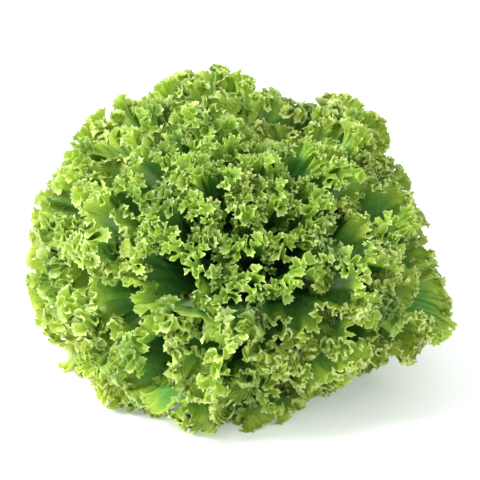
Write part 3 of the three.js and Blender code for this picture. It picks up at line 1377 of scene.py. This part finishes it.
@dataclass
class CutStem:
    """The stem that carries the leaves, with rings of leaf scars and a knife-cut face."""

    plant: Plant
    rest: Rest
    material: bpy.types.Material
    seed: int = 77
    sides: int = 96
    cut_rings: int = 10
    side_rings: int = 46
    hidden_end: float = 3.0
    cut_bevel: float = 0.8
    cut_start: float = 0.02
    cut_level: float = 0.25
    cut_lowest: float = 0.05
    cut_swell: float = 0.5
    cut_swell_turns: float = 9.0
    cut_grain: float = 0.0525
    lobe_counts: tuple[int, ...] = (2, 3, 5)
    lobe_depths: tuple[float, float] = (0.1, 0.3)
    scar_count: int = 9
    scar_pitch: float = 1.4
    scar_start: float = -3.0
    scar_depth: float = 0.9
    scar_width: float = 0.55
    scar_rise: float = 2.2
    scar_bend: float = 1.6
    scar_reach: float = 1.0

    def build(self, origin: Vector) -> bpy.types.Object:
        """Makes the stem's mesh object.

        Args:
            origin: the head's centre in the frame, in metres.

        Returns:
            The stem, riding on the head and standing for its solid.
        """
        rng = np.random.default_rng(self.seed)
        around = np.linspace(0.0, 2 * math.pi, self.sides, endpoint=False)
        unevenness = sum(
            rng.uniform(*self.lobe_depths)
            * (1.0 - np.sin(count * around + rng.uniform(0, 2 * math.pi)))
            for count in self.lobe_counts
        )
        rows, radial, cut = [], [], []
        for share in np.linspace(self.cut_start, 1.0, self.cut_rings):
            radius = share * (self.plant.stem_radius - self.cut_bevel) - share * unevenness
            level = self.cut_swell * math.cos(share * self.cut_swell_turns) * (1.0 - share)
            level += self.cut_level + self.cut_grain * rng.normal(size=self.sides)
            rows.append(self.ring(around, radius, np.maximum(level, self.cut_lowest)))
            radial.append(share)
            cut.append(1.0)
        top = self.plant.stem_height - self.hidden_end
        for height in np.linspace(self.cut_bevel, top, self.side_rings):
            groove = self.scar_depth * self.scars(around, height)
            rows.append(self.ring(around, self.plant.stem_radius_at(height) - groove, height))
            radial.append(1.0)
            cut.append(0.0)
        points = self.rest.turned(np.concatenate(rows))
        points[:, 2] += self.rest.centre_up
        return self.finish(points, radial, cut, origin)

    @staticmethod
    def ring(around: np.ndarray, radius: np.ndarray, height: np.ndarray | float) -> np.ndarray:
        """Returns one ring of points round the plant's axis."""
        level = np.broadcast_to(height, around.shape)
        return np.stack([radius * np.cos(around), radius * np.sin(around), level], axis=-1)

    def scars(self, around: np.ndarray, height: float) -> np.ndarray:
        """Finds how deep the marks left by trimmed leaves are.

        Args:
            around: angles round the axis.
            height: the height on the stem.

        Returns:
            The depth at each angle, from 0 to 1.
        """
        depth = np.zeros_like(around)
        for index in range(-self.scar_count, self.scar_count):
            level = self.plant.first_foot + self.scar_start + index * self.scar_pitch
            turn = folded(around - self.plant.azimuth_of(index))
            arch = level + self.scar_rise * np.cos(turn * self.scar_bend)
            mark = np.exp(-(((height - arch) / self.scar_width) ** 2))
            depth = np.maximum(depth, mark * (np.abs(turn) < self.scar_reach))
        return depth

    def finish(
        self, points: np.ndarray, radial: list[float], cut: list[float], origin: Vector,
    ) -> bpy.types.Object:
        """Writes the rings as a closed mesh.

        Args:
            points: the rings' points, one ring after another.
            radial: each ring's share of the stem's radius.
            cut: 1 for a ring on the cut face, else 0.
            origin: what is added to every point, in metres.

        Returns:
            The new object.
        """
        number = np.arange(len(points)).reshape(-1, self.sides)
        after = np.roll(number, -1, axis=1)
        faces = faces_between(number[:-1], number[1:], after[1:], after[:-1]).tolist()
        faces.append(number[0].tolist())
        faces.append(number[-1][::-1].tolist())
        mesh = bpy.data.meshes.new("cut_stem_body")
        mesh.from_pydata((points * MILLIMETRE + np.array(origin)).tolist(), [], faces)
        mesh.polygons.foreach_set("use_smooth", np.ones(len(faces), bool))
        write_attribute(mesh, "radial", np.repeat(radial, self.sides))
        write_attribute(mesh, "cut", np.repeat(cut, self.sides))
        mesh.materials.append(self.material)
        stem = add_object("cut_stem_body", mesh)
        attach(stem, ROOT)
        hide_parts("cut_stem")
        return stem


@dataclass(frozen=True)
class Lamp:
    """A soft square lamp: its place and width in metres, and its power in watts."""

    name: str
    place: Place
    size: float
    power: float

    def hang(self, target: Vector) -> None:
        """Hangs the lamp.

        Args:
            target: the point that it faces.
        """
        data = bpy.data.lights.new(self.name, "AREA")
        data.size, data.energy = self.size, self.power
        lamp = add_object(self.name, data)
        lamp.location = self.place
        lamp.rotation_euler = (target - Vector(self.place)).to_track_quat("-Z", "Y").to_euler()


@dataclass
class Studio:
    """A plain pale floor, soft daylight from the upper left, and the camera.

    The camera's lens, sensor and shift are in millimetres, and everything else is in metres.
    """

    target_height: float
    lens: float = 85.0
    sensor: float = 36.0
    shift: float = 1.65
    distance: float = 0.752
    elevation: float = math.radians(21)
    floor_half_width: float = 4.0
    floor_tones: tuple[Colour, Colour] = ((0.90, 0.90, 0.91), (0.93, 0.93, 0.94))
    floor_roughness: float = 0.7
    glow: Colour = (0.86, 0.93, 1.0)
    glow_strength: float = 0.24
    sky: Colour = (1.0, 1.0, 1.0)
    sky_strength: float = 1.0
    lamps: tuple[Lamp, ...] = (
        Lamp("key", (-1.15, -0.35, 0.9), size=0.6, power=27.0),
        Lamp("fill", (0.9, -0.9, 0.7), size=0.8, power=2.0),
    )

    def camera(self, origin: Vector) -> None:
        """Makes the camera and gives it to the scene.

        Args:
            origin: the head's centre on the surface, in metres.
        """
        data = bpy.data.cameras.new("camera")
        data.lens, data.sensor_width = self.lens, self.sensor
        data.shift_y = self.shift / self.sensor
        camera = add_object("camera", data)
        back = Vector((0.0, -math.cos(self.elevation), math.sin(self.elevation)))
        camera.location = origin + Vector((0.0, 0.0, self.target_height)) + back * self.distance
        camera.rotation_euler = (-back).to_track_quat("-Z", "Y").to_euler()
        bpy.context.scene.camera = camera

    def floor(self) -> None:
        """Makes the pale floor, which isn't part of the head."""
        half = self.floor_half_width
        mesh = bpy.data.meshes.new("floor")
        corners = [(-half, -half, 0), (half, -half, 0), (half, half, 0), (-half, half, 0)]
        mesh.from_pydata(corners, [], [(0, 1, 2, 3)])
        bench = NodeBench("pale_floor")
        colour = bench.mix(bench.noise(bench.place(), scale=3.0), *self.floor_tones)
        surface = bench.skin(
            colour, self.floor_roughness,
            Emission_Color=self.glow, Emission_Strength=self.glow_strength,
        )
        mesh.materials.append(bench.finish(surface))
        floor = add_object("floor", mesh)

    def light(self) -> None:
        """Lights the scene with a white sky and the lamps."""
        world = bpy.data.worlds.new("sky")
        world.use_nodes = True
        sky = world.node_tree.nodes["Background"]
        sky.inputs["Color"].default_value = (*self.sky, 1.0)
        sky.inputs["Strength"].default_value = self.sky_strength
        bpy.context.scene.world = world
        bpy.context.scene.view_settings.view_transform = "Standard"
        for lamp in self.lamps:
            lamp.hang(Vector((0.0, 0.0, self.target_height)))


@dataclass
class LettuceHead:
    """The whole head: its plan, its finishes, its leaves and its stem."""

    plant: Plant = field(default_factory=Plant)
    blade: Blade = field(default_factory=Blade)
    rest: Rest = field(init=False)
    heart_calm_start: float = 0.6
    heart_calm: float = 0.6
    heart_fineness: float = 0.84
    side_fineness: float = 0.16
    columns: int = 2080
    heart_columns: int = 1664
    plain: Tongue = Tongue(centre=0.0, width=1.0, reach=0.0, calm=0.0)
    tongues: dict[tuple[Ring, int], Tongue] = field(
        default_factory=lambda: {
            (Ring.FRILL, 7): Tongue(centre=-0.035, width=0.036, reach=15.0, calm=0.95),
            (Ring.FRILL, 20): Tongue(centre=0.03, width=0.12, reach=6.0, calm=0.85),
        }
    )

    def __post_init__(self) -> None:
        """Sets how the head rests."""
        self.rest = Rest(self.plant)

    def finishes(self) -> dict[Ring, bpy.types.Material]:
        """Makes the finish of each ring's leaves, deeper ring by ring: the outer ring's paler greens
        are partly painted light on the head's outside, and the heart's darker greens partly painted
        shade at its centre.

        Returns:
            A material for each ring.
        """
        # painted light and shade: the tones step darker from the outer ring to the heart, partly the
        # leaves' own greens and partly painted light on the head's outside and painted shade at its
        # centre
        greens: dict[Ring, tuple[Colour, ...]] = {
            Ring.OUTER: (
                (0.84, 0.90, 0.40), (0.54, 0.69, 0.085), (0.24, 0.48, 0.08), (0.09, 0.30, 0.065),
            ),
            Ring.FRILL: (
                (0.82, 0.91, 0.38), (0.48, 0.67, 0.085), (0.18, 0.43, 0.075), (0.07, 0.27, 0.065),
            ),
            Ring.HEART: (
                (0.78, 0.90, 0.36), (0.43, 0.64, 0.085), (0.15, 0.40, 0.07), (0.07, 0.25, 0.06),
            ),
        }
        return {
            ring: LeafFinish(f"{ring.value}_green", *tones).make() for ring, tones in greens.items()
        }

    def frills_of(self, index: int) -> Frills:
        """Sets how one leaf is ruffled.

        Args:
            index: the leaf's place from the outside in.

        Returns:
            The sizes of its ruffles and teeth.
        """
        depth = self.plant.depth_of(index)
        lively = 1.0 - self.heart_calm * float(smooth_step(self.heart_calm_start, 1.0, depth))
        length = self.plant.shell(depth).length
        heart = self.plant.ring_of(index)[0] is Ring.HEART
        side = math.cos(self.plant.azimuth_of(index))
        fine = self.heart_fineness if heart else 1.0 - self.side_fineness * side
        return Frills(
            waves=(
                Ruffle(
                    wavelength=58.0, depth=0.6 * length, lean=1.45 * lively, onset=1.2,
                    unevenness=0.30, variety=0.20,
                ),
                Ruffle(
                    wavelength=19.0 * fine, depth=48.0, lean=1.60, onset=1.0,
                    unevenness=0.30, variety=0.18,
                ),
                Ruffle(
                    wavelength=6.8 * fine, depth=14.0, lean=1.90, onset=0.8,
                    unevenness=0.28, variety=0.14,
                ),
            ),
            columns=self.heart_columns if heart else self.columns,
        )

    def build(self) -> None:
        """Makes every piece and reports it."""
        origin = self.rest.origin()
        finishes = self.finishes()
        stem = CutStem(self.plant, self.rest, StemFinish().make()).build(origin)
        LOG.info("%s: %d faces", stem.name, len(stem.data.polygons))
        total = 0
        for index in range(self.plant.leaf_count):
            ring, number = self.plant.ring_of(index)
            leaf = Leaf(
                index=index,
                plant=self.plant,
                rest=self.rest,
                blade=self.blade,
                frills=self.frills_of(index),
                tongue=self.tongues.get((ring, number), self.plain),
                material=finishes[ring],
            ).build(origin)
            triangles = sum(len(polygon.vertices) - 2 for polygon in leaf.data.polygons)
            total += triangles
            LOG.info("%s: %d triangles", leaf.name, triangles)
        LOG.info("leaves: %d triangles in all", total)


def main() -> None:
    """Makes the camera, the head and the studio, in that order."""
    logging.basicConfig(level=logging.INFO, format="%(name)s: %(message)s")
    head = LettuceHead()
    studio = Studio(target_height=head.rest.centre_up * MILLIMETRE)
    studio.camera(head.rest.origin())
    head.build()
    studio.floor()
    studio.light()


if __name__ == "__main__":
    main()
